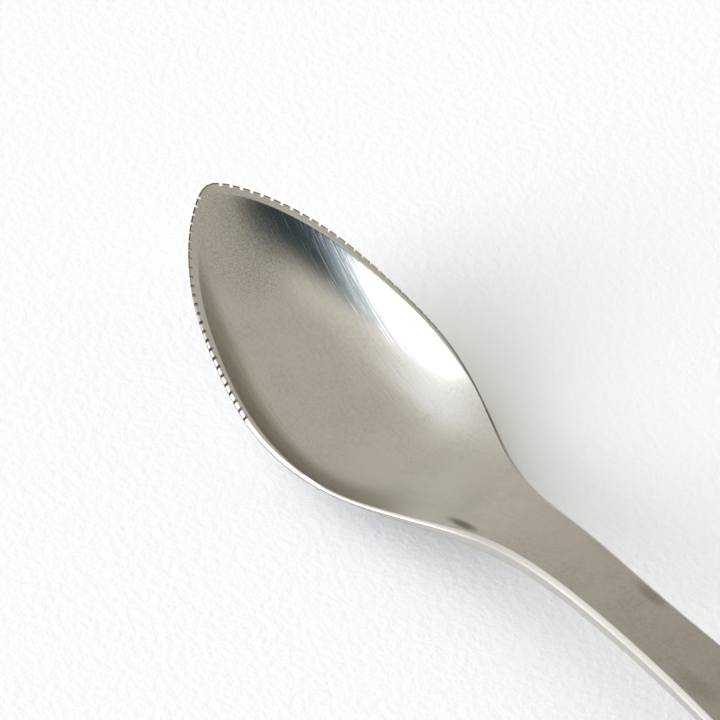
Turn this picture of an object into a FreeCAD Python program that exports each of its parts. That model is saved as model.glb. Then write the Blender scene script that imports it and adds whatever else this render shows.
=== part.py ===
import FreeCAD, Part
import math
import os

# A grapefruit spoon: one piece of pressed stainless steel.
# X runs from the tip to the end of the handle, Y across, Z up from the table.
# The shape is worked out with the tip at X = 0, and the finished spoon is then
# placed so that its footprint is centred on the origin with the table at Z = 0.

doc = FreeCAD.newDocument("grapefruit_spoon")

# Driving dimensions in millimetres, one named cell each.
sheet = doc.addObject("Spreadsheet::Sheet", "sizes")
row_number = 0


def size(name, value):
    """Write one driving dimension into the sheet under its own name."""
    global row_number
    row_number += 1
    sheet.set("A%d" % row_number, name)
    sheet.set("B%d" % row_number, "%g" % value)
    sheet.setAlias("B%d" % row_number, name)
    return value


# Plan: half widths at stations along the spoon. Beyond the neck a share says how far
# along the handle a station stands.
overall_length = size("overall_length", 165)
nose_radius = size("nose_radius", 1.9)
end_radius = size("end_radius", 4.7)
point_station = size("point_station", 4)
point_half_width = size("point_half_width", 5.27)
cheek_station = size("cheek_station", 11)
cheek_half_width = size("cheek_half_width", 9.54)
shoulder_station = size("shoulder_station", 19)
shoulder_half_width = size("shoulder_half_width", 11.94)
belly_station = size("belly_station", 28)
belly_half_width = size("belly_half_width", 13.03)
hip_station = size("hip_station", 36)
hip_half_width = size("hip_half_width", 11.74)
heel_station = size("heel_station", 45)
heel_half_width = size("heel_half_width", 8.6)
waist_station = size("waist_station", 54)
waist_half_width = size("waist_half_width", 5.83)
neck_station = size("neck_station", 64)
neck_half_width = size("neck_half_width", 4.49)
slim_share = size("slim_share", 0.168)
slim_half_width = size("slim_half_width", 3.91)
grip_share = size("grip_share", 0.356)
grip_half_width = size("grip_half_width", 4.45)
palm_share = size("palm_share", 0.614)
palm_half_width = size("palm_half_width", 5.2)
butt_share = size("butt_share", 0.842)
butt_half_width = size("butt_half_width", 5.6)

# Side view: heights of the top face above the table.
tip_height = size("tip_height", 15.7)
front_station = size("front_station", 13)
front_height = size("front_height", 10.83)
middle_station = size("middle_station", 26)
middle_height = size("middle_height", 6.74)
dip_station = size("dip_station", 38)
dip_height = size("dip_height", 4.65)
rise_station = size("rise_station", 50)
rise_height = size("rise_height", 6.61)
arch_station = size("arch_station", 62)
arch_height = size("arch_height", 10.52)
shaft_share = size("shaft_share", 0.139)
shaft_height = size("shaft_height", 12.86)
crown_share = size("crown_share", 0.396)
crown_height = size("crown_height", 14.2)
fall_share = size("fall_share", 0.673)
fall_height = size("fall_height", 10.6)
tail_share = size("tail_share", 0.842)
tail_height = size("tail_height", 4.4)

# Section: how deep the bowl is pressed, and how thick the metal is left.
bowl_depth = size("bowl_depth", 5.4)
bowl_wall = size("bowl_wall", 1)
press_start = size("press_start", 12)
press_end = size("press_end", 68)
run_out_rise = size("run_out_rise", 0.35)
rim_width_tip = size("rim_width_tip", 1.05)
rim_width_belly = size("rim_width_belly", 0.7)
edge_tip = size("edge_tip", 0.15)
edge_cheek = size("edge_cheek", 0.5)
edge_belly = size("edge_belly", 0.65)
upper_bevel_belly = size("upper_bevel_belly", 0.28)
upper_bevel_handle = size("upper_bevel_handle", 0.5)
handle_thickness = size("handle_thickness", 2)
thicken_start = size("thicken_start", 38)
lower_bevel_start = size("lower_bevel_start", 1.25)
lower_bevel_steepness = size("lower_bevel_steepness", 2)
land_depth = size("land_depth", 0.3)

# Teeth: square notches ground into both sides of the tip half of the rim.
notch_width = size("notch_width", 0.38)
notch_depth = size("notch_depth", 0.4)
notch_count = int(size("notch_count", 26))
left_notch_start = size("left_notch_start", 2.2)
left_notch_pitch = size("left_notch_pitch", 1.18)
right_notch_start = size("right_notch_start", 1.45)
right_notch_pitch = size("right_notch_pitch", 1.21)

doc.recompute()

# How the bowl's section curves, and how far the tools reach past the metal.
BOWL_POWER = 2.2
UPPER_BEVEL_CLEARANCE = 0.1
LOWER_BEVEL_CLEARANCE = 1.5
TOOL_HEIGHT = 40.0
SIDE_MARGIN = 3.2
LEAD_IN = 0.9
GRID_COLUMNS = 36
GRID_ROWS = 13
OUTLINE_STEPS = 36
OUTLINE_PARTS = 12
TOP_PARTS = 6


def smooth_curve(stations, values, start_slope=None, end_slope=None):
    """A cubic spline through named points, straight beyond both ends."""
    last = len(stations) - 1
    span = [stations[i + 1] - stations[i] for i in range(last)]
    rise = [(values[i + 1] - values[i]) / span[i] for i in range(last)]
    lower = [0.0] * (last + 1)
    middle = [1.0] * (last + 1)
    upper = [0.0] * (last + 1)
    bend = [0.0] * (last + 1)
    for i in range(1, last):
        lower[i] = span[i - 1]
        middle[i] = 2 * (span[i - 1] + span[i])
        upper[i] = span[i]
        bend[i] = 6 * (rise[i] - rise[i - 1])
    if start_slope is not None:
        middle[0] = 2 * span[0]
        upper[0] = span[0]
        bend[0] = 6 * (rise[0] - start_slope)
    if end_slope is not None:
        lower[last] = span[-1]
        middle[last] = 2 * span[-1]
        bend[last] = 6 * (end_slope - rise[-1])
    for i in range(1, last + 1):
        share = lower[i] / middle[i - 1]
        middle[i] -= share * upper[i - 1]
        bend[i] -= share * bend[i - 1]
    bend[last] /= middle[last]
    for i in range(last - 1, -1, -1):
        bend[i] = (bend[i] - upper[i] * bend[i + 1]) / middle[i]
    first_slope = rise[0] - span[0] * (2 * bend[0] + bend[1]) / 6
    final_slope = rise[-1] + span[-1] * (bend[-2] + 2 * bend[-1]) / 6

    def height(x):
        if x <= stations[0]:
            return values[0] + first_slope * (x - stations[0])
        if x >= stations[-1]:
            return values[-1] + final_slope * (x - stations[-1])
        i = max(k for k in range(last) if stations[k] <= x)
        left = stations[i + 1] - x
        right = x - stations[i]
        cubic = (bend[i] * left ** 3 + bend[i + 1] * right ** 3) / (6 * span[i])
        linear = (values[i] / span[i] - bend[i] * span[i] / 6) * left
        return cubic + linear + (values[i + 1] / span[i] - bend[i + 1] * span[i] / 6) * right

    return height


def ease(x, start, end):
    """Goes smoothly from 0 at start to 1 at end."""
    share = min(1.0, max(0.0, (x - start) / (end - start)))
    return share ** 3 * (share * (6 * share - 15) + 10)


def handle_station(share):
    """A place along the handle, from 0 at the neck to 1 at its end."""
    return neck_station + (overall_length - neck_station) * share


slim_station = handle_station(slim_share)
grip_station = handle_station(grip_share)
palm_station = handle_station(palm_share)
butt_station = handle_station(butt_share)
shaft_station = handle_station(shaft_share)
crown_station = handle_station(crown_share)
fall_station = handle_station(fall_share)
tail_station = handle_station(tail_share)

# The outline is kept as the square of its half width, which runs smoothly
# through both rounded ends.
outline_stations = [0, point_station, cheek_station, shoulder_station, belly_station,
                    hip_station, heel_station, waist_station, neck_station, slim_station,
                    grip_station, palm_station, butt_station, overall_length]
outline_widths = [0, point_half_width, cheek_half_width, shoulder_half_width,
                  belly_half_width, hip_half_width, heel_half_width, waist_half_width,
                  neck_half_width, slim_half_width, grip_half_width, palm_half_width,
                  butt_half_width, 0]
squared_width = smooth_curve(outline_stations, [width ** 2 for width in outline_widths],
                             2 * nose_radius, -2 * end_radius)


def side_curve(end_height):
    """The top face in side view, level where the handle ends."""
    return smooth_curve(
        [0, front_station, middle_station, dip_station, rise_station, arch_station,
         shaft_station, crown_station, fall_station, tail_station, overall_length],
        [tip_height, front_height, middle_height, dip_height, rise_height, arch_height,
         shaft_height, crown_height, fall_height, tail_height, end_height], None, 0)


top_line = side_curve(handle_thickness)
rim_edge = smooth_curve([0, cheek_station, belly_station], [edge_tip, edge_cheek, edge_belly],
                        None, 0)


def half_width(x):
    return math.sqrt(max(0.0, squared_width(x)))


def inside(x, y):
    """Positive inside the outline, zero on it and negative outside it."""
    return squared_width(x) - y * y


def pressed(share):
    """The bowl's section: steep at the rim and flat on the floor."""
    return 1 - max(0.0, 1 - share) ** BOWL_POWER


def rim_band(x):
    """What the flat rim takes off inside(x, y)."""
    width = rim_width_tip + (rim_width_belly - rim_width_tip) * ease(x, 0, belly_station)
    width *= 1 - ease(x, belly_station, press_end)
    return 2 * width * math.sqrt(max(0.0, squared_width(x)) + nose_radius ** 2)


def bowl_floor(x, y):
    """Height of the pressed inner face of the bowl."""
    share = (inside(x, y) - rim_band(x)) / belly_half_width ** 2
    depth = bowl_depth * pressed(share) * (1 - ease(x, press_start, press_end))
    return top_line(x) - depth + run_out_rise * ease(x, heel_station, press_end)


def edge_height(x):
    """How tall the upright edge is: thin round the bowl, the full thickness beyond it."""
    if x < belly_station:
        return rim_edge(x)
    return edge_belly + (handle_thickness - edge_belly) * ease(x, thicken_start, neck_station)


def underside(x, y):
    """Height of the lower face, from the back of the bowl to the flat of the handle."""
    back = (bowl_depth + bowl_wall - edge_belly) * pressed(inside(x, y) / belly_half_width ** 2)
    return top_line(x) - edge_height(x) - back * (1 - ease(x, press_start, press_end))


def inset(x, y):
    """About how far a point lies inside the outline."""
    return inside(x, y) / (2 * math.sqrt(max(0.0, squared_width(x)) + nose_radius ** 2))


def upper_bevel(x, y):
    """Height of the bevel along the upper edges, which starts among the teeth."""
    drop = upper_bevel_belly + UPPER_BEVEL_CLEARANCE
    drop = drop * ease(x, cheek_station, belly_station) - UPPER_BEVEL_CLEARANCE
    drop += (upper_bevel_handle - upper_bevel_belly) * ease(x, heel_station, neck_station)
    return top_line(x) - drop + inset(x, y)


def lower_bevel(x, y):
    """Height of the bevel along the handle's lower edges, clear below the bowl's rim."""
    start = lower_bevel_start + LOWER_BEVEL_CLEARANCE * (1 - ease(x, thicken_start, neck_station))
    return top_line(x) - start - lower_bevel_steepness * inset(x, y)


# The back of the bowl sets the table's height, and the handle's end comes down to it.
table = min(underside(press_end * k / 200, 0) for k in range(201))
top_line = side_curve(table + handle_thickness - land_depth)


def grid_stations():
    """Stations from just before the tip to just past the end, closer near both."""
    places = []
    for i in range(GRID_COLUMNS + 1):
        even = i / GRID_COLUMNS
        bunched = (1 - math.cos(math.pi * even)) / 2
        places.append(-LEAD_IN + (overall_length + 2 * LEAD_IN) * (even + bunched) / 2)
    return places


def skin(height):
    """A smooth face that follows height(x, y) over the whole spoon and a margin."""
    rows = []
    for x in grid_stations():
        reach = math.sqrt(max(0.0, squared_width(x)) + SIDE_MARGIN ** 2)
        spread = [reach * (2 * j / (GRID_ROWS - 1) - 1) for j in range(GRID_ROWS)]
        rows.append([FreeCAD.Vector(x, y, height(x, y)) for y in spread])
    surface = Part.BSplineSurface()
    surface.interpolate(rows)
    return surface.toShape()


def solid_feature(name, shape):
    """A document object that holds a shape made from the sheet's values."""
    feature = doc.addObject("Part::Feature", name)
    feature.Shape = shape
    return feature


def edge_pieces(curve, count):
    """One long curve as several edges end to end, which keeps volumes exact."""
    first, last = curve.FirstParameter, curve.LastParameter
    step = (last - first) / count
    return [curve.toShape(first + step * i, first + step * (i + 1)) for i in range(count)]


def outline_wire():
    """The plan outline: one smooth closed curve, starting at the handle's end."""
    points = []
    for i in range(2 * OUTLINE_STEPS):
        turn = math.pi * i / OUTLINE_STEPS
        x = overall_length * (1 + math.cos(turn)) / 2
        hand = 1 if turn < math.pi else -1
        points.append(FreeCAD.Vector(x, hand * half_width(x), 0))
    curve = Part.BSplineCurve()
    curve.interpolate(Points=points, PeriodicFlag=True)
    return Part.Wire(edge_pieces(curve, OUTLINE_PARTS))


def top_wire():
    """The side view of everything above the top face, as a closed outline."""
    points = [FreeCAD.Vector(x, 0, top_line(x)) for x in grid_stations()]
    curve = Part.BSplineCurve()
    curve.interpolate(Points=points)
    ceiling = tip_height + TOOL_HEIGHT
    corners = [points[-1], FreeCAD.Vector(points[-1].x, 0, ceiling),
               FreeCAD.Vector(points[0].x, 0, ceiling), points[0]]
    return Part.Wire(edge_pieces(curve, TOP_PARTS) + Part.makePolygon(corners).Edges)


# The blank: the plan outline cut right through, between underside and top face.
plan_outline = solid_feature("plan_outline", outline_wire())
plan_block = doc.addObject("Part::Extrusion", "plan_block")
plan_block.Base = plan_outline
plan_block.DirMode = "Custom"
plan_block.Dir = FreeCAD.Vector(0, 0, 1)
plan_block.Solid = True
plan_block.LengthFwd = TOOL_HEIGHT
plan_block.LengthRev = TOOL_HEIGHT

up = FreeCAD.Vector(0, 0, TOOL_HEIGHT)
above_underside = solid_feature("above_underside", skin(underside).extrude(up))
above_lower_bevel = solid_feature("above_lower_bevel", skin(lower_bevel).extrude(up))
square_blank = doc.addObject("Part::Common", "square_blank")
square_blank.Base = plan_block
square_blank.Tool = above_underside
rough_blank = doc.addObject("Part::Common", "rough_blank")
rough_blank.Base = square_blank
rough_blank.Tool = above_lower_bevel

side_outline = solid_feature("side_outline", Part.Face(top_wire()))
above_top = doc.addObject("Part::Extrusion", "above_top")
above_top.Base = side_outline
above_top.DirMode = "Custom"
above_top.Dir = FreeCAD.Vector(0, 1, 0)
above_top.Solid = True
above_top.LengthFwd = TOOL_HEIGHT
above_top.LengthRev = TOOL_HEIGHT
flat_blank = doc.addObject("Part::Cut", "flat_blank")
flat_blank.Base = rough_blank
flat_blank.Tool = above_top
above_upper_bevel = solid_feature("above_upper_bevel", skin(upper_bevel).extrude(up))
blank = doc.addObject("Part::Cut", "blank")
blank.Base = flat_blank
blank.Tool = above_upper_bevel

# The bowl is pressed into the blank, which leaves a flat ground rim around it.
bowl_punch = solid_feature("bowl_punch", skin(bowl_floor).extrude(up))
pressed_blank = doc.addObject("Part::Cut", "pressed_blank")
pressed_blank.Base = blank
pressed_blank.Tool = bowl_punch


def rim_places(start, pitch, hand):
    """Where the notches of one side stand: place and outward angle in plan."""
    fine_steps = 4000
    travel = 0.0
    places = []
    before = (0.0, 0.0, top_line(0.0))
    for i in range(1, fine_steps + 1):
        x = overall_length * (1 - math.cos(math.pi * i / fine_steps)) / 2
        here = (x, half_width(x), top_line(x))
        travel += math.dist(before, here)
        if travel >= start + pitch * len(places) and len(places) < notch_count:
            outward = math.atan2(here[0] - before[0], -(here[1] - before[1]))
            angle = hand * math.degrees(outward)
            places.append((FreeCAD.Vector(x, hand * half_width(x), 0), angle))
        before = here
    return places


# One square cutter a notch, standing across the rim.
cutters = []
for side_name, start, pitch, hand in (
        ("left", left_notch_start, left_notch_pitch, -1),
        ("right", right_notch_start, right_notch_pitch, 1)):
    for number, (place, angle) in enumerate(rim_places(start, pitch, hand), 1):
        cutter = doc.addObject("Part::Box", "%s_notch_%d" % (side_name, number))
        cutter.setExpression("Length", "sizes.notch_depth * 2")
        cutter.setExpression("Width", "sizes.notch_width")
        cutter.setExpression("Height", "sizes.tip_height * 2")
        turn = FreeCAD.Rotation(FreeCAD.Vector(0, 0, 1), angle)
        corner = FreeCAD.Vector(-notch_depth, -notch_width / 2, 0)
        cutter.Placement = FreeCAD.Placement(place + turn.multVec(corner), turn)
        cutters.append(cutter)
notches = doc.addObject("Part::Compound", "notches")
notches.Links = cutters
toothed = doc.addObject("Part::Cut", "toothed")
toothed.Base = pressed_blank
toothed.Tool = notches

# A small flat under the end of the handle, level with the back of the bowl.
land_cutter = doc.addObject("Part::Box", "land_cutter")
land_cutter.setExpression("Length",
                          "(sizes.overall_length - sizes.neck_station) * (1 - sizes.fall_share)")
land_cutter.setExpression("Width", "sizes.butt_half_width * 4")
land_cutter.setExpression("Height", "sizes.handle_thickness * 4")
land_cutter.Placement.Base = FreeCAD.Vector(fall_station, -2 * butt_half_width,
                                            table - 4 * handle_thickness)
spoon = doc.addObject("Part::Cut", "spoon")
spoon.Label = "spoon"
spoon.Base = toothed
spoon.Tool = land_cutter
doc.recompute()

spoon.Placement.Base = FreeCAD.Vector(-overall_length / 2, 0, -table)
doc.recompute()

for item in doc.Objects:
    if "Invalid" in item.State or "Error" in item.State:
        raise RuntimeError("%s failed: %s" % (item.Name, item.State))
shape = spoon.Shape
if shape.isNull() or not shape.isValid() or len(shape.Solids) != 1:
    raise RuntimeError("the spoon is not one sound solid")

os.makedirs("parts", exist_ok=True)
shape.exportStep(os.path.join("parts", spoon.Label + ".step"))
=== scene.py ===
import bpy
import bisect
import math
from mathutils import Matrix, Vector


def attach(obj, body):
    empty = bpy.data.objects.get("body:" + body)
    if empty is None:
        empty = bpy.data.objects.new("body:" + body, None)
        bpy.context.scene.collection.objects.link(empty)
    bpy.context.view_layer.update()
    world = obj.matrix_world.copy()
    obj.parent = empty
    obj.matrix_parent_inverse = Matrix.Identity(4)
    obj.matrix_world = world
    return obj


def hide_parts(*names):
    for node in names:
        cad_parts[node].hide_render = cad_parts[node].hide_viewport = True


# A grapefruit spoon of satin brushed stainless steel, lying on a sheet of white paper.
# Sizes are in millimetres with the tip at X = 0, as in the part's source, and the
# finished mesh is in metres with the spoon centred on the origin, on the table.

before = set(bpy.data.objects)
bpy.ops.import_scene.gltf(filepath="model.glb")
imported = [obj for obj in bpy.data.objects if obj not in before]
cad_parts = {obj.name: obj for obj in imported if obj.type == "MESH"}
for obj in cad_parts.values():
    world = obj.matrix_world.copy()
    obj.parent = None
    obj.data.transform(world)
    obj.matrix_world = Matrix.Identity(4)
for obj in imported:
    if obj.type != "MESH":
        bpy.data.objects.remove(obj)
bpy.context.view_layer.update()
bpy.ops.object.select_all(action="DESELECT")

MM = 0.001
LENGTH = 165.0
NOSE_RADIUS = 1.9
END_RADIUS = 4.7
NECK_STATION = 64.0
HALF_WIDTHS = [(0, 0), (4, 5.27), (11, 9.54), (19, 11.94), (28, 13.03), (36, 11.74), (45, 8.6),
               (54, 5.83), (64, 4.49)]
HANDLE_HALF_WIDTHS = [(0.168, 3.91), (0.356, 4.45), (0.614, 5.2), (0.842, 5.6), (1, 0)]
TOP_HEIGHTS = [(0, 15.7), (13, 10.83), (26, 6.74), (38, 4.65), (50, 6.61), (62, 10.52)]
HANDLE_TOP_HEIGHTS = [(0.139, 12.86), (0.396, 14.2), (0.673, 10.6), (0.842, 4.4)]
NOSE_END = 4.0
BELLY_STATION = 28.0
HEEL_STATION = 45.0
BELLY_HALF_WIDTH = 13.03
BOWL_DEPTH = 5.4
BOWL_WALL = 1.0
PRESS_START = 12.0
PRESS_END = 68.0
BOWL_POWER = 2.2
RIM_WIDTH_TIP = 1.05
RIM_WIDTH_BELLY = 0.7
RIM_FADE_LEAD = 4.0
RIM_SOFTNESS = 0.004
EDGE_HEIGHTS = [(0, 0.15), (11, 0.5), (28, 0.65)]
UPPER_BEVEL_TIP = 0.06
UPPER_BEVEL_BELLY = 0.28
UPPER_BEVEL_HANDLE = 0.5
BEVEL_TURN = 0.16
BEVEL_CORNER = 0.7
BEVEL_SUPPORT = 1.6
BEVEL_MARGIN = 0.16
HANDLE_THICKNESS = 2.0
THICKEN_START = 38.0
LOWER_BEVEL_BOWL_SHARE = 0.15
LOWER_BEVEL_HANDLE = 0.8
LOWER_BEVEL_REACH = 0.7
LOWER_BEVEL_TURNS = (0, 25, 50, 70)
LAND_DEPTH = 0.3

NOTCH_WIDTH = 0.38
NOTCH_DEPTH = 0.4
NOTCH_COUNT = 26
NOTCH_STARTS = {-1: 2.2, 1: 1.45}
NOTCH_PITCHES = {-1: 1.18, 1: 1.21}
LAST_NOTCH_STATION = 28.5
NOTCH_LINE_END = 36.0

# The mesh: rows run across the spoon and columns run along it. The EDGE_COLUMNS nearest
# an edge follow it at the insets of the profiles below. Of these, the first LIP_COLUMNS
# are the sheared lip, and the notches are cut in as far as NOTCH_COLUMN.
TABLE_STEPS = 200
WALK_STEPS = 4000
SLOPE_STEP = 0.001
TIP_ROWS = 10
TOOTH_ROWS = 3
REST_ROWS = 220
EDGE_COLUMNS = 9
LIP_COLUMNS = 4
NOTCH_COLUMN = 5
INNER_COLUMNS = 44
LIP_WIDTH = 0.18
CREASE_REACH = 0.12
UPPER_GAP = 0.05
LOWER_GAP = 0.08
LOWER_SUPPORT = 0.08
EXTRUSION = 0.001
MERGE_DISTANCE = 1e-6
SMOOTH_ANGLE = 50

# The sheared lip is fully dull round the tip. On the far side it fades to LIP_FAR_HANDLE
# by the neck: painted shade along the edge that faces away from the light. On the near side it
# ends at the station LIP_NEAR_END, and from the heel onwards LIP_SHADE_LIFT is taken off the
# painted shade that the handle gives it.
LIP_FAR_HANDLE = 0.15
LIP_NEAR_END = 20.0
LIP_SHADE_LIFT = 0.4


def smooth_curve(points, start_slope=None, end_slope=None):
    """A cubic spline through points, straight beyond both ends."""
    stations = [point[0] for point in points]
    values = [point[1] for point in points]
    last = len(stations) - 1
    span = [stations[i + 1] - stations[i] for i in range(last)]
    rise = [(values[i + 1] - values[i]) / span[i] for i in range(last)]
    lower = [0.0] * (last + 1)
    middle = [1.0] * (last + 1)
    upper = [0.0] * (last + 1)
    bend = [0.0] * (last + 1)
    for i in range(1, last):
        lower[i] = span[i - 1]
        middle[i] = 2 * (span[i - 1] + span[i])
        upper[i] = span[i]
        bend[i] = 6 * (rise[i] - rise[i - 1])
    if start_slope is not None:
        middle[0] = 2 * span[0]
        upper[0] = span[0]
        bend[0] = 6 * (rise[0] - start_slope)
    if end_slope is not None:
        lower[last] = span[-1]
        middle[last] = 2 * span[-1]
        bend[last] = 6 * (end_slope - rise[-1])
    for i in range(1, last + 1):
        share = lower[i] / middle[i - 1]
        middle[i] -= share * upper[i - 1]
        bend[i] -= share * bend[i - 1]
    bend[last] /= middle[last]
    for i in range(last - 1, -1, -1):
        bend[i] = (bend[i] - upper[i] * bend[i + 1]) / middle[i]
    first_slope = rise[0] - span[0] * (2 * bend[0] + bend[1]) / 6
    final_slope = rise[-1] + span[-1] * (bend[-2] + 2 * bend[-1]) / 6

    def value(x):
        if x <= stations[0]:
            return values[0] + first_slope * (x - stations[0])
        if x >= stations[-1]:
            return values[-1] + final_slope * (x - stations[-1])
        i = bisect.bisect_right(stations, x) - 1
        left = stations[i + 1] - x
        right = x - stations[i]
        cubic = (bend[i] * left ** 3 + bend[i + 1] * right ** 3) / (6 * span[i])
        linear = (values[i] / span[i] - bend[i] * span[i] / 6) * left
        return cubic + linear + (values[i + 1] / span[i] - bend[i + 1] * span[i] / 6) * right

    return value


def ease(x, start, end):
    """Goes smoothly from 0 at start to 1 at end."""
    share = min(1.0, max(0.0, (x - start) / (end - start)))
    return share ** 3 * (share * (6 * share - 15) + 10)


def mix(low, high, share):
    return low + (high - low) * share


def along_handle(shares):
    """Stations given as shares of the handle, from the neck to its end."""
    return [(mix(NECK_STATION, LENGTH, share), value) for share, value in shares]


squared_width = smooth_curve(
    [(x, width ** 2) for x, width in HALF_WIDTHS + along_handle(HANDLE_HALF_WIDTHS)],
    2 * NOSE_RADIUS, -2 * END_RADIUS)
rim_edge = smooth_curve(EDGE_HEIGHTS, None, 0)


def side_curve(end_height):
    heights = TOP_HEIGHTS + along_handle(HANDLE_TOP_HEIGHTS) + [(LENGTH, end_height)]
    return smooth_curve(heights, None, 0)


def half_width(x):
    return math.sqrt(max(0.0, squared_width(x)))


def edge_height(x):
    """How tall the upright edge is: thin round the bowl, the full thickness beyond it."""
    if x < BELLY_STATION:
        return rim_edge(x)
    return mix(EDGE_HEIGHTS[-1][1], HANDLE_THICKNESS, ease(x, THICKEN_START, NECK_STATION))


def pressed(share):
    """The bowl's section: steep at the rim and flat on the floor."""
    return 1 - max(0.0, 1 - share) ** BOWL_POWER


def rim_width(x):
    """The flat ground band along the rim, which runs out at the heel."""
    width = mix(RIM_WIDTH_TIP, RIM_WIDTH_BELLY, ease(x, 0, BELLY_STATION))
    return width * (1 - ease(x, BELLY_STATION - RIM_FADE_LEAD, HEEL_STATION))


def top_height(x, y):
    """Height of the upper face: the flat rim and handle, and the pressed bowl."""
    across = squared_width(x)
    band = 2 * rim_width(x) * math.sqrt(max(0.0, across) + NOSE_RADIUS ** 2)
    share = (across - y * y - band) / BELLY_HALF_WIDTH ** 2
    share = (share + math.sqrt(share ** 2 + RIM_SOFTNESS ** 2)) / 2
    return top_line(x) - BOWL_DEPTH * pressed(share) * (1 - ease(x, PRESS_START, PRESS_END))


def underside(x, y):
    """Height of the lower face, from the back of the bowl to the flat of the handle."""
    inside = (squared_width(x) - y * y) / BELLY_HALF_WIDTH ** 2
    back = (BOWL_DEPTH + BOWL_WALL - EDGE_HEIGHTS[-1][1]) * pressed(inside)
    return top_line(x) - edge_height(x) - back * (1 - ease(x, PRESS_START, PRESS_END))


# The table is at the bowl's lowest point. A first side curve finds it, and the second
# brings the end of the handle down to it.
top_line = side_curve(HANDLE_THICKNESS)
table = min(underside(PRESS_END * k / TABLE_STEPS, 0) for k in range(TABLE_STEPS + 1))
top_line = side_curve(table + HANDLE_THICKNESS - LAND_DEPTH)


def rim_walk():
    """Distance walked along one edge from the tip, against the station."""
    walked = [0.0]
    stations = [0.0]
    before = (0.0, 0.0, top_line(0.0))
    for i in range(1, WALK_STEPS + 1):
        x = LENGTH * (1 - math.cos(math.pi * i / WALK_STEPS)) / 2
        here = (x, half_width(x), top_line(x))
        walked.append(walked[-1] + math.dist(before, here))
        stations.append(x)
        before = here
    return walked, stations


def row_distances(hand, total):
    """Where the mesh rows meet one edge: two at each notch, and fine at both ends."""
    first = NOTCH_STARTS[hand] - NOTCH_WIDTH / 2
    rows = [first * i / TIP_ROWS for i in range(TIP_ROWS)]
    gap = NOTCH_PITCHES[hand] - NOTCH_WIDTH
    for notch in range(NOTCH_COUNT):
        start = first + notch * NOTCH_PITCHES[hand]
        rows.append(start)
        rows += [start + NOTCH_WIDTH + gap * i / TOOTH_ROWS for i in range(TOOTH_ROWS)]
    # No tooth follows the last notch, so its far side begins the plain rest.
    begin = first + (NOTCH_COUNT - 1) * NOTCH_PITCHES[hand] + NOTCH_WIDTH
    rows = rows[:1 - TOOTH_ROWS]
    for i in range(1, REST_ROWS + 1):
        even = i / REST_ROWS
        rows.append(begin + (total - begin) * (even + math.sin(math.pi * even / 2)) / 2)
    return rows


def edge_frames(hand):
    """For each row: the point on the edge and the way inwards, in plan."""
    walked, stations = rim_walk()
    frames = []
    for distance in row_distances(hand, walked[-1]):
        k = min(max(bisect.bisect_right(walked, distance), 1), len(walked) - 1)
        share = (distance - walked[k - 1]) / (walked[k] - walked[k - 1])
        x = mix(stations[k - 1], stations[k], min(1.0, max(0.0, share)))
        width = half_width(x)
        change = squared_width(x + SLOPE_STEP) - squared_width(x - SLOPE_STEP)
        steepness = change / (4 * SLOPE_STEP)
        size = math.hypot(width, steepness)
        frames.append((x, hand * width, steepness / size, -hand * width / size))
    return frames


edges = {hand: edge_frames(hand) for hand in (-1, 1)}
LAST_ROW = len(edges[1]) - 1
LAST_COLUMN = 2 * EDGE_COLUMNS + INNER_COLUMNS - 2


def upper_bevel(x):
    """How far the bevel on the upper edge reaches down and inwards."""
    drop = mix(UPPER_BEVEL_TIP, UPPER_BEVEL_BELLY, ease(x, NOSE_END, BELLY_STATION))
    growth = UPPER_BEVEL_HANDLE - UPPER_BEVEL_BELLY
    return drop + growth * ease(x, HEEL_STATION, NECK_STATION)


def upper_profile(x):
    """Inset and drop of the columns by the edge: wall, bevel, flat rim and its inner line.
    The bevel turns over at both its ends in a short chamfer, a share of its own size."""
    bevel = upper_bevel(x)
    turn = BEVEL_TURN * bevel
    corner = BEVEL_CORNER * turn
    plain_line = bevel + BEVEL_MARGIN
    notch_line = mix(NOTCH_DEPTH, plain_line, ease(x, LAST_NOTCH_STATION, NOTCH_LINE_END))
    profile = [(0, bevel + BEVEL_SUPPORT * turn), (0, bevel + turn), (corner, bevel - corner),
               (bevel - corner, corner), (max(bevel + turn, LIP_WIDTH), 0), (notch_line, 0)]
    for reach in (-CREASE_REACH, 0, CREASE_REACH):
        profile.append((max(profile[-1][0] + UPPER_GAP, rim_width(x) + reach), 0))
    return profile


def lower_profile(x):
    """The same below: the wall and the rounded bevel of the lower edge."""
    height = edge_height(x)
    bevel = mix(LOWER_BEVEL_BOWL_SHARE * height, LOWER_BEVEL_HANDLE,
                ease(x, THICKEN_START, NECK_STATION))
    reach = LOWER_BEVEL_REACH * bevel
    profile = [(0, bevel + LOWER_SUPPORT * height)]
    for turn in LOWER_BEVEL_TURNS:
        angle = math.radians(turn)
        profile.append((reach * (1 - math.cos(angle)), bevel * (1 - math.sin(angle))))
    profile.append((mix(NOTCH_DEPTH, reach, ease(x, LAST_NOTCH_STATION, NOTCH_LINE_END)), 0))
    for inset, _ in upper_profile(x)[len(profile):]:
        profile.append((max(inset, profile[-1][0] + LOWER_GAP), 0))
    return profile


def place(row, column, profile_of, height_of, lift_sign):
    """Where one vertex of the upper or lower face goes."""
    hand = -1 if column * 2 < LAST_COLUMN else 1
    from_edge = column if hand < 0 else LAST_COLUMN - column

    def rim_vertex(side, number):
        x, y, inward_x, inward_y = edges[side][row]
        inset, offset = profile_of(x)[number]
        return x + inset * inward_x, y + inset * inward_y, offset

    if from_edge < EDGE_COLUMNS:
        x, y, offset = rim_vertex(hand, from_edge)
    else:
        left_x, left_y, _ = rim_vertex(-1, EDGE_COLUMNS - 1)
        right_x, right_y, _ = rim_vertex(1, EDGE_COLUMNS - 1)
        share = (column - EDGE_COLUMNS + 1) / INNER_COLUMNS
        x, y, offset = mix(left_x, right_x, share), mix(left_y, right_y, share), 0
    z = max(table, height_of(x, y) + lift_sign * offset)
    return Vector((x - LENGTH / 2, y, z - table)) * MM


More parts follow.
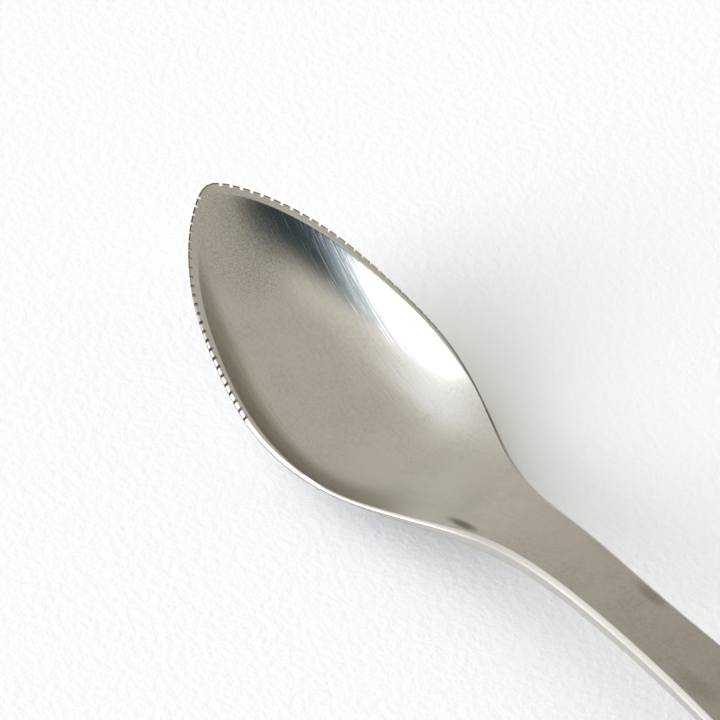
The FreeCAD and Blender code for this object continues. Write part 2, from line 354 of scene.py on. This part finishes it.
def in_edit_mode(step):
    bpy.ops.object.mode_set(mode="EDIT")
    step()
    bpy.ops.object.mode_set(mode="OBJECT")


def dull_and_shade_the_lip(sheet):
    """Writes how dark each face of the sheared lip is made, for the material to add: dull round
    the tip and painted shade along the far edge. Columns count from the near edge, and the value
    is below 0 where it takes off the painted shade on the handle."""
    columns = [item.value for item in sheet.attributes["column"].data]
    lip = sheet.attributes.new("sheared_lip_and_shade", "FLOAT", "FACE")
    for face in sheet.polygons:
        x = face.center.x / MM + LENGTH / 2
        if min(columns[i] for i in face.vertices) >= LAST_COLUMN - LIP_COLUMNS:
            lip.data[face.index].value = mix(1.0, LIP_FAR_HANDLE,
                                             ease(x, BELLY_STATION, NECK_STATION))
        elif max(columns[i] for i in face.vertices) <= LIP_COLUMNS:
            dull = 1 - ease(x, 0, LIP_NEAR_END)
            lip.data[face.index].value = dull - LIP_SHADE_LIFT * ease(x, HEEL_STATION, NECK_STATION)


def form_spoon():
    """Shapes a flat sheet to the upper face, notches it, and thickens it downwards."""
    bpy.ops.mesh.primitive_grid_add(x_subdivisions=LAST_ROW, y_subdivisions=LAST_COLUMN, size=2)
    spoon = bpy.context.object
    spoon.name = "spoon_body"
    sheet = spoon.data
    sheet.name = "spoon_body"
    row_of = sheet.attributes.new("row", "INT", "POINT")
    column_of = sheet.attributes.new("column", "INT", "POINT")
    # The grid runs from -1 to 1 each way, which tells every vertex its row and column.
    for vertex in sheet.vertices:
        row = round((vertex.co.x + 1) / 2 * LAST_ROW)
        column = round((vertex.co.y + 1) / 2 * LAST_COLUMN)
        row_of.data[vertex.index].value = row
        column_of.data[vertex.index].value = column
        vertex.co = place(row, column, upper_profile, top_height, -1)

    rows = [item.value for item in row_of.data]
    columns = [item.value for item in column_of.data]
    in_edit_mode(lambda: bpy.ops.mesh.select_all(action="DESELECT"))
    step_rows = TOOTH_ROWS + 1
    for face in sheet.polygons:
        row = min(rows[i] for i in face.vertices)
        column = max(min(columns[i], LAST_COLUMN - columns[i]) for i in face.vertices)
        notch, offset = divmod(row - TIP_ROWS, step_rows)
        face.select = offset == 0 and 0 <= notch < NOTCH_COUNT and column <= NOTCH_COLUMN
    in_edit_mode(lambda: bpy.ops.mesh.delete(type="FACE"))

    def thicken():
        bpy.ops.mesh.select_all(action="SELECT")
        bpy.ops.mesh.remove_doubles(threshold=MERGE_DISTANCE)
        bpy.ops.mesh.extrude_region_move(TRANSFORM_OT_translate={"value": (0, 0, -EXTRUSION)})

    in_edit_mode(thicken)
    row_of = sheet.attributes["row"]
    column_of = sheet.attributes["column"]
    for vertex in sheet.vertices:
        if vertex.select:
            row = row_of.data[vertex.index].value
            column = column_of.data[vertex.index].value
            vertex.co = place(row, column, lower_profile, underside, 1)

    def close():
        bpy.ops.mesh.select_all(action="SELECT")
        bpy.ops.mesh.remove_doubles(threshold=MERGE_DISTANCE)
        bpy.ops.mesh.normals_make_consistent(inside=False)

    in_edit_mode(close)
    bpy.ops.object.shade_smooth_by_angle(angle=math.radians(SMOOTH_ANGLE))
    dull_and_shade_the_lip(sheet)
    return spoon


spoon = form_spoon()
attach(spoon, "root")
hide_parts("spoon")


def linear(hex_colour):
    """An sRGB hex colour as linear red, green, blue and alpha."""
    channels = [int(hex_colour[i:i + 2], 16) / 255 for i in (1, 3, 5)]
    return [c / 12.92 if c <= 0.04045 else ((c + 0.055) / 1.055) ** 2.4 for c in channels] + [1]


def add_node(tree, kind, settings=None, links=None):
    """Adds a node, sets its values and sockets, and links other outputs to its inputs."""
    node = tree.nodes.new(kind)
    for name, value in (settings or {}).items():
        if name in node.inputs:
            node.inputs[name].default_value = value
        else:
            setattr(node, name, value)
    for name, source in (links or {}).items():
        tree.links.new(source, node.inputs[name])
    return node


def maths(tree, operation, *values, clamp=False):
    """A maths node's output. Each value is a number or another node's output."""
    node = add_node(tree, "ShaderNodeMath", {"operation": operation, "use_clamp": clamp})
    for socket, value in zip(node.inputs, values):
        if isinstance(value, (int, float)):
            socket.default_value = value
        else:
            tree.links.new(value, socket)
    return node.outputs["Value"]


# A Mix node has sockets for every data type, and these are its colours.
MIX_COLOURS = (6, 7)
MIX_RESULT = 2


def mix_colours(tree, share, *colours, label=""):
    """A colour between two. Each is a list or another node's output."""
    node = add_node(tree, "ShaderNodeMix", {"data_type": "RGBA", "label": label},
                    {"Factor": share})
    for number, colour in zip(MIX_COLOURS, colours):
        if isinstance(colour, list):
            node.inputs[number].default_value = colour
        else:
            tree.links.new(colour, node.inputs[number])
    return node.outputs[MIX_RESULT]


def oval(tree, position, shape, core, depth):
    """Depth in an oval on the spoon, which fades to 0 from its core to its edge. The shape
    is the station and offset of the middle, and half the length and width."""
    station, offset, half_long, half_wide = shape
    shifted = add_node(tree, "ShaderNodeMapping", {
        "vector_type": "TEXTURE",
        "Location": ((station - LENGTH / 2) * MM, offset * MM, 0),
        "Scale": (half_long * MM, half_wide * MM, 1)}, {"Vector": position})
    spread = add_node(tree, "ShaderNodeVectorMath", {"operation": "LENGTH"},
                      {"Vector": shifted.outputs["Vector"]})
    fade = add_node(tree, "ShaderNodeMapRange", {
        "interpolation_type": "SMOOTHSTEP", "From Min": core, "From Max": 1.0,
        "To Min": depth, "To Max": 0.0}, {"Value": spread.outputs["Value"]})
    return fade.outputs["Result"]


def new_material(name):
    material = bpy.data.materials.new(name)
    material.use_nodes = True
    material.node_tree.nodes.clear()
    return material, material.node_tree


# Marks left by use, as ovals in millimetres, each with how far it dulls the steel.
MARKS = [((54.6, -4.1, 3.6, 0.85), 0.78), ((79.0, 2.8, 3.4, 1.1), 0.3),
         ((93.5, -2.1, 5.0, 1.6), 0.12)]
MARK_CORE = 0.2

# The tip is worn dull in specks inside this oval.
WORN_TIP = (6.0, -0.5, 8.0, 7.5)
WORN_CORE = 0.4

# Between these stations the handle gets darker: painted shade for the darker surroundings it
# mirrors.
HANDLE_SHADE_FROM = 43.0
HANDLE_SHADE_TO = 95.0
HANDLE_SHADE_DEPTH = 0.37


def satin_brushed_stainless_steel():
    """Steel with fine lines and thin scratches along the spoon, faint blotches, a few dull
    marks, specks worn into the tip and a sheared lip dull round the tip, with painted shade
    darkening the handle towards its end and the lip along the far edge."""
    material, tree = new_material("satin_brushed_stainless_steel")
    position = add_node(tree, "ShaderNodeTexCoord").outputs["Object"]

    # The lines show only where the light changes, at the edges of the highlights.
    along = add_node(tree, "ShaderNodeMapping", {"Scale": (160, 8000, 160)},
                     {"Vector": position})
    lines = add_node(tree, "ShaderNodeTexNoise", {
        "Scale": 1.0, "Detail": 4.0, "Roughness": 0.6}, {"Vector": along.outputs["Vector"]})
    brushed = add_node(tree, "ShaderNodeBump", {"Strength": 1.0, "Distance": 0.00001},
                       {"Height": lines.outputs["Fac"]})

    # Thin scratches along the same way, deep enough to catch light from the side.
    scratch = add_node(tree, "ShaderNodeMapping", {"Scale": (190, 7500, 190)},
                       {"Vector": position})
    ridges = add_node(tree, "ShaderNodeTexNoise", {
        "Scale": 1.0, "Detail": 2.0, "Roughness": 0.5}, {"Vector": scratch.outputs["Vector"]})
    ridge = add_node(tree, "ShaderNodeMapRange", {"From Min": 0.54, "From Max": 0.66},
                     {"Value": ridges.outputs["Fac"]})
    scratched = add_node(tree, "ShaderNodeBump", {"Strength": 1.0, "Distance": 0.0000048},
                         {"Height": ridge.outputs["Result"], "Normal": brushed.outputs["Normal"]})

    # Blotches a few millimetres across and specks below half a millimetre.
    clouds = add_node(tree, "ShaderNodeTexNoise", {
        "Scale": 170.0, "Detail": 3.0, "Roughness": 0.6}, {"Vector": position})
    specks = add_node(tree, "ShaderNodeTexNoise", {
        "Scale": 2600.0, "Detail": 2.0, "Roughness": 0.6}, {"Vector": position})
    grain = maths(tree, "MULTIPLY", clouds.outputs["Fac"], specks.outputs["Fac"])
    cover = add_node(tree, "ShaderNodeMapRange", {
        "From Min": 0.2, "From Max": 0.4, "To Min": 0.0, "To Max": 0.12}, {"Value": grain})
    dullness_and_shade = cover.outputs["Result"]
    for shape, depth in MARKS:
        dullness_and_shade = maths(tree, "ADD", dullness_and_shade, oval(tree, position, shape, MARK_CORE, depth))
    fine_specks = add_node(tree, "ShaderNodeTexNoise", {
        "Scale": 5200.0, "Detail": 3.0, "Roughness": 0.7}, {"Vector": position})
    speck = add_node(tree, "ShaderNodeMapRange", {
        "From Min": 0.4, "From Max": 0.7, "To Min": 0.0, "To Max": 0.44},
        {"Value": fine_specks.outputs["Fac"]})
    worn = maths(tree, "MULTIPLY", oval(tree, position, WORN_TIP, WORN_CORE, 1.0),
                 speck.outputs["Result"])
    dullness_and_shade = maths(tree, "ADD", dullness_and_shade, worn)

    # Painted shade: the handle darkens between the two stations, standing in for a darker
    # reflection.
    split = add_node(tree, "ShaderNodeSeparateXYZ", {}, {"Vector": position})
    handle_shade = add_node(tree, "ShaderNodeMapRange", {
        "From Min": (HANDLE_SHADE_FROM - LENGTH / 2) * MM, "From Max": (HANDLE_SHADE_TO - LENGTH / 2) * MM,
        "To Min": 0.0, "To Max": HANDLE_SHADE_DEPTH}, {"Value": split.outputs["X"]})
    dullness_and_shade = maths(tree, "ADD", dullness_and_shade, handle_shade.outputs["Result"])
    # The lip's darkness: dull round the tip, painted shade along the far edge.
    lip = add_node(tree, "ShaderNodeAttribute", {"attribute_name": "sheared_lip_and_shade"})
    dullness_and_shade = maths(tree, "ADD", dullness_and_shade, lip.outputs["Fac"], clamp=True)
    # The dark colour takes the blotches, marks, worn specks and dull lip, and also the painted
    # shade on the handle and the far edge.
    colour = mix_colours(tree, dullness_and_shade, linear("#C8C4BC"), linear("#5E574C"))
    shader = add_node(tree, "ShaderNodeBsdfPrincipled", {"Metallic": 1.0, "Roughness": 0.19},
                      {"Base Color": colour, "Normal": scratched.outputs["Normal"]})
    add_node(tree, "ShaderNodeOutputMaterial", {}, {"Surface": shader.outputs["BSDF"]})
    return material


def uncoated_white_paper():
    """Matt white paper with a slight tooth."""
    material, tree = new_material("uncoated_white_paper")
    position = add_node(tree, "ShaderNodeTexCoord").outputs["Object"]
    tooth = add_node(tree, "ShaderNodeTexNoise", {
        "Scale": 1100.0, "Detail": 3.0, "Roughness": 0.55}, {"Vector": position})
    relief = add_node(tree, "ShaderNodeBump", {"Strength": 1.0, "Distance": 0.00008},
                      {"Height": tooth.outputs["Fac"]})
    shader = add_node(tree, "ShaderNodeBsdfPrincipled", {
        "Base Color": linear("#FBFBFB"), "Roughness": 0.9}, {"Normal": relief.outputs["Normal"]})
    add_node(tree, "ShaderNodeOutputMaterial", {}, {"Surface": shader.outputs["BSDF"]})
    return material


spoon.data.materials.clear()
spoon.data.materials.append(satin_brushed_stainless_steel())

PAPER_SIZE = 6
bpy.ops.object.select_all(action="DESELECT")
bpy.ops.mesh.primitive_plane_add(size=PAPER_SIZE)
paper = bpy.context.object
paper.name = "paper"
paper.data.materials.append(uncoated_white_paper())

# The room's light comes from every side: a pale ceiling, a wide window on the left with a
# dark corner beside it, and a dimmer wall opposite. Each patch lies over the ones before
# it and has: azimuth from +X towards +Y, height above the table, half width, half height
# and softness of its edge, all in degrees, then its colour and brightness.
ROOM_PATCHES = [
    ("far_wall", 85, 26, 75, 62, 45, "#D7D5CA", 1.0),
    ("near_wall", -153, 52, 31, 25, 44, "#EDF2F8", 1.5),
    ("window_glow", -98, 4, 30, 50, 60, "#EEF2FC", 2.4),
    ("window", -101, 11, 11, 16, 36, "#F1F4FB", 21.0),
    ("shade", 4, 10, 36, 36, 46, "#979995", 1.0),
    ("dark_corner", -31, 16, 43, 40, 22, "#323F47", 1.0),
    ("window_side", -74, 16, 7, 34, 18, "#A3BACB", 1.7),
]


def room_light():
    """A world of soft-edged patches, each mixed over the ones before it."""
    world = bpy.data.worlds.new("soft_room")
    world.use_nodes = True
    tree = world.node_tree
    tree.nodes.clear()
    direction = add_node(tree, "ShaderNodeTexCoord").outputs["Generated"]
    split = add_node(tree, "ShaderNodeSeparateXYZ", {}, {"Vector": direction})
    climb = add_node(tree, "ShaderNodeMapRange", {
        "From Min": -0.1, "From Max": 1.0, "To Min": 0.0, "To Max": 1.0},
        {"Value": split.outputs["Z"]})
    colour = mix_colours(tree, climb.outputs["Result"], linear("#DDD9D0"), linear("#F4F1EA"))
    height = maths(tree, "ARCSINE", split.outputs["Z"])
    for name, azimuth, rise, half_wide, half_high, soft, tint, brightness in ROOM_PATCHES:
        turned = add_node(tree, "ShaderNodeVectorRotate", {
            "rotation_type": "Z_AXIS", "Angle": math.radians(-azimuth)}, {"Vector": direction})
        parts = add_node(tree, "ShaderNodeSeparateXYZ", {}, {"Vector": turned.outputs["Vector"]})
        sideways = maths(tree, "ARCTAN2", parts.outputs["Y"], parts.outputs["X"])
        masks = []
        for angle, centre, half in ((sideways, 0, half_wide), (height, rise, half_high)):
            away = maths(tree, "SUBTRACT", angle, math.radians(centre))
            mask = add_node(tree, "ShaderNodeMapRange", {
                "interpolation_type": "SMOOTHSTEP",
                "From Min": math.radians(half - soft / 2),
                "From Max": math.radians(half + soft / 2),
                "To Min": 1.0, "To Max": 0.0}, {"Value": maths(tree, "ABSOLUTE", away)})
            masks.append(mask.outputs["Result"])
        light = [channel * brightness for channel in linear(tint)[:3]] + [1]
        colour = mix_colours(tree, maths(tree, "MULTIPLY", *masks), colour, light, label=name)
    background = add_node(tree, "ShaderNodeBackground", {"Strength": 1.0}, {"Color": colour})
    add_node(tree, "ShaderNodeOutputWorld", {}, {"Surface": background.outputs["Background"]})
    return world


bpy.context.scene.world = room_light()

# The camera stands at the photograph's angle, 900 mm away with a long lens.
CAMERA_AZIMUTH = math.radians(55.06)
CAMERA_ELEVATION = math.radians(42.0)
CAMERA_DISTANCE = 900.0
FOCAL_PIXELS = 8036.675
ANCHOR_PIXEL = (209.3208, 251.6187)
ANCHOR_HEIGHT = 5.7
IMAGE_SIZE = 720
SENSOR = 36.0
CLIP_START = 0.01
CLIP_END = 20
right = Vector((math.cos(CAMERA_AZIMUTH), math.sin(CAMERA_AZIMUTH), 0))
forward = Vector((-math.sin(CAMERA_AZIMUTH) * math.cos(CAMERA_ELEVATION),
                  math.cos(CAMERA_AZIMUTH) * math.cos(CAMERA_ELEVATION),
                  -math.sin(CAMERA_ELEVATION)))
upward = right.cross(forward)
# The point under the tip that the camera was set out from, and where the photograph has it.
anchor = Vector((-LENGTH / 2, 0, ANCHOR_HEIGHT - table))
aim = ((ANCHOR_PIXEL[0] - IMAGE_SIZE / 2) * right
       - (ANCHOR_PIXEL[1] - IMAGE_SIZE / 2) * upward) / FOCAL_PIXELS
camera_data = bpy.data.cameras.new("camera")
camera_data.sensor_width = SENSOR
camera_data.lens = FOCAL_PIXELS * SENSOR / IMAGE_SIZE
camera_data.clip_start = CLIP_START
camera_data.clip_end = CLIP_END
camera = bpy.data.objects.new("camera", camera_data)
bpy.context.scene.collection.objects.link(camera)
camera.matrix_world = Matrix((right, upward, -forward)).transposed().to_4x4()
camera.location = (anchor - CAMERA_DISTANCE * (aim + forward)) * MM
bpy.context.scene.camera = camera

bpy.context.scene.view_settings.view_transform = "Standard"
